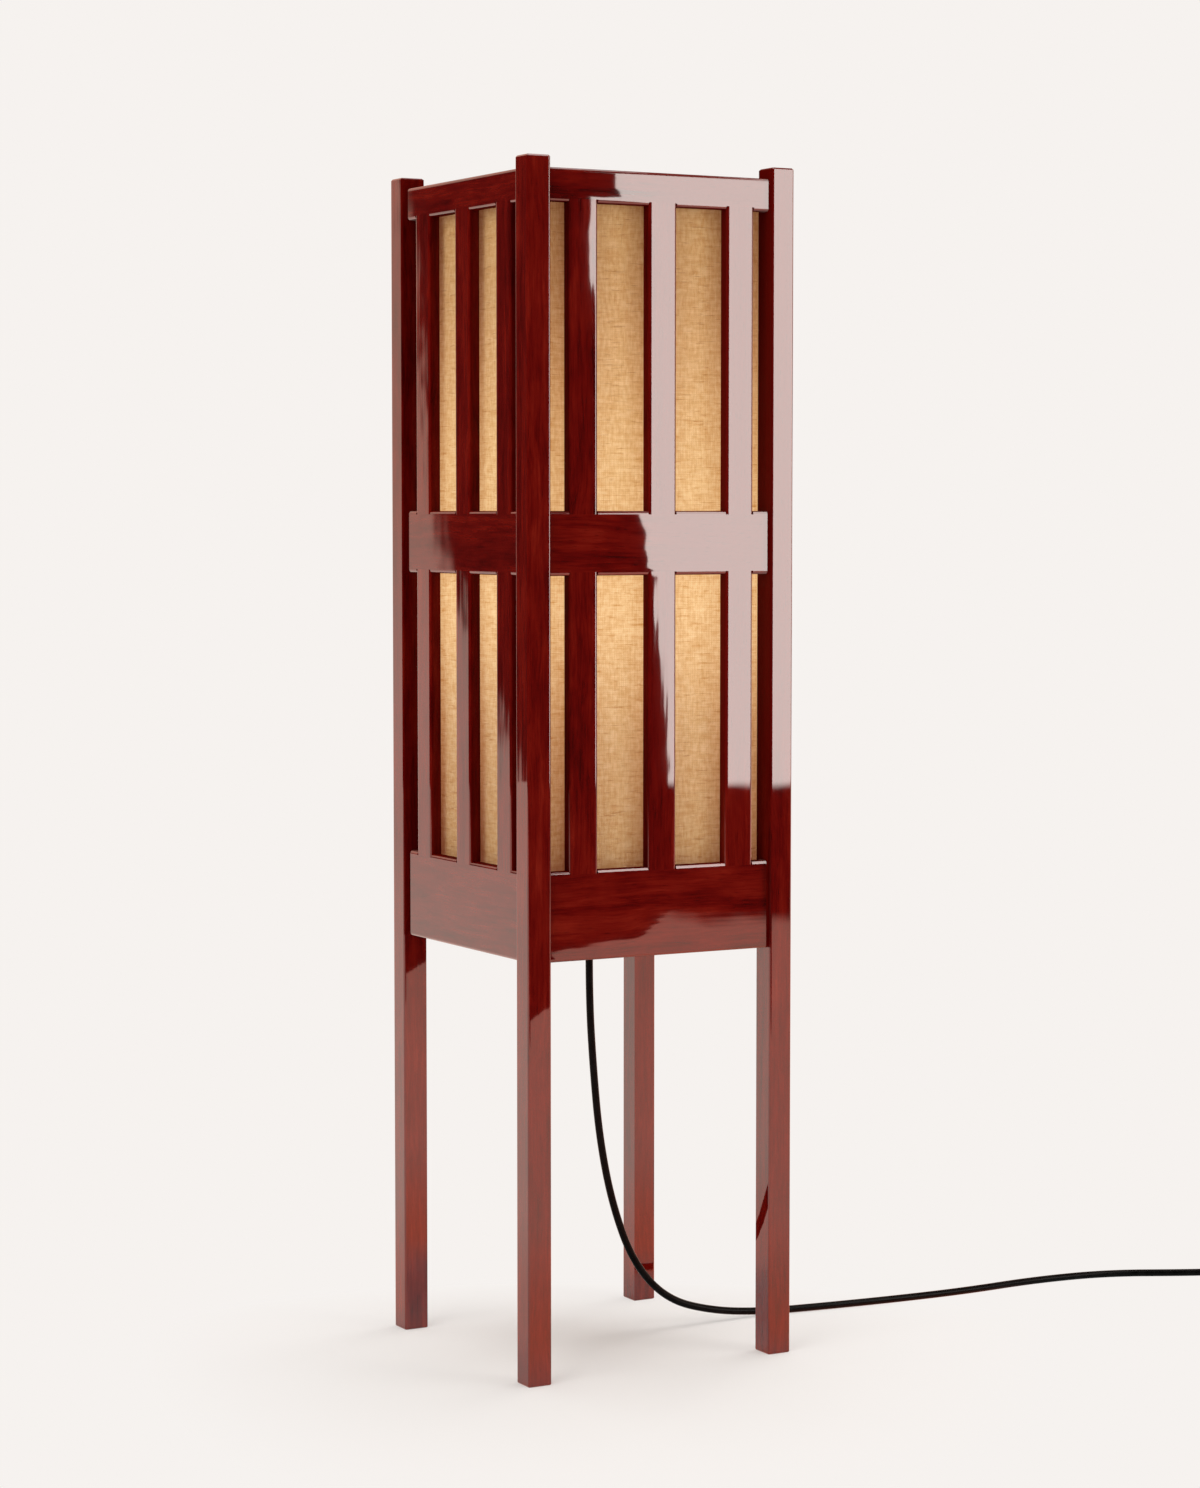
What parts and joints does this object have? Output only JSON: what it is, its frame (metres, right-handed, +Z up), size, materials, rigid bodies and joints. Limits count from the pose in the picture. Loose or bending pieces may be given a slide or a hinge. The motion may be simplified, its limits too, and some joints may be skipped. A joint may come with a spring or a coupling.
{
  "type": "andon floor lamp",
  "caption": "Square floor lantern: lacquered wooden posts, rails and slats round a lift-out woven cloth shade, a bulb on a stem, and a cord with a rocker switch and plug.",
  "frame": {"origin": "on the floor, midway between the four posts", "axes": "+Z up along the lantern's axis; -Y is the front, the broad side that is seen first, and the cord leads off towards +X"},
  "size_m": [1.0098, 0.3843, 1.12],
  "materials": {
    "lacquered_wood": "deep red brown lacquer, polished to a mirror gloss",
    "plain_wood": "planed softwood",
    "plywood": "sanded plywood",
    "cloth": "coarse slubbed plain weave, lit from behind",
    "screw_steel": "zinc plated",
    "stem_steel": "zinc plated",
    "holder_plastic": "satin moulded",
    "holder_ceramic": "unglazed",
    "brass": "bright",
    "cap_metal": "rolled, bright",
    "insulator": "gloss",
    "opal_glass": "opal white, lit",
    "grip_plastic": "satin moulded",
    "cord_sheath": "smooth, slight sheen",
    "tie_plastic": "matt",
    "switch_plastic": "satin moulded",
    "rocker_plastic": "gloss",
    "plug_rubber": "satin moulded"
  },
  "bodies": {
    "lamp": {"base_board": "plywood", "board_cleats": "plain_wood", "board_screws": "screw_steel", "bottom_rail_back": "lacquered_wood", "bottom_rail_front": "lacquered_wood", "bottom_rail_left": "lacquered_wood", "bottom_rail_right": "lacquered_wood", "coil_tie": "tie_plastic", "cord_coil": "cord_sheath", "cord_grip": "grip_plastic", "cord_lead": "cord_sheath", "cord_run": "cord_sheath", "cord_tail": "cord_sheath", "holder_base": "holder_plastic", "holder_contact": "brass", "holder_core": "holder_ceramic", "holder_shell": "holder_plastic", "holder_thread": "brass", "lead_in_stem": "cord_sheath", "mid_rail_back": "lacquered_wood", "mid_rail_front": "lacquered_wood", "mid_rail_left": "lacquered_wood", "mid_rail_right": "lacquered_wood", "plug_blades": "brass", "plug_body": "plug_rubber", "post_back_left": "lacquered_wood", "post_back_right": "lacquered_wood", "post_front_left": "lacquered_wood", "post_front_right": "lacquered_wood", "slat_back_1": "lacquered_wood", "slat_back_2": "lacquered_wood", "slat_back_3": "lacquered_wood", "slat_front_1": "lacquered_wood", "slat_front_2": "lacquered_wood", "slat_front_3": "lacquered_wood", "slat_left_1": "lacquered_wood", "slat_left_2": "lacquered_wood", "slat_left_3": "lacquered_wood", "slat_right_1": "lacquered_wood", "slat_right_2": "lacquered_wood", "slat_right_3": "lacquered_wood", "stem": "stem_steel", "stem_nuts": "stem_steel", "switch_case": "switch_plastic", "switch_cover": "switch_plastic", "top_rail_back": "lacquered_wood", "top_rail_front": "lacquered_wood", "top_rail_left": "lacquered_wood", "top_rail_right": "lacquered_wood"},
    "shade": {"shade_cloth_back": "cloth", "shade_cloth_front": "cloth", "shade_cloth_left": "cloth", "shade_cloth_right": "cloth", "shade_sticks_bottom": "plain_wood", "shade_sticks_top": "plain_wood", "shade_uprights": "plain_wood"},
    "bulb": {"bulb_tip": "insulator", "bulb_cap": "cap_metal", "bulb_glass": "opal_glass"},
    "rocker": {"switch_rocker": "rocker_plastic"}
  },
  "joints": [
    {"name": "shade_lift", "type": "slide", "parent": "lamp", "child": "shade", "axis": [0, 0, 1], "range_m": [0, 0.7]},
    {"name": "bulb_out", "type": "slide", "parent": "lamp", "child": "bulb", "axis": [0, 0, 1], "range_m": [0, 0.03]},
    {"name": "switch_rock", "type": "hinge", "parent": "lamp", "child": "rocker", "pos_m": [0.785, -0.114, 0.013], "axis": [-0.3846, -0.9231, 0], "range_deg": [0, 14]}
  ]
}
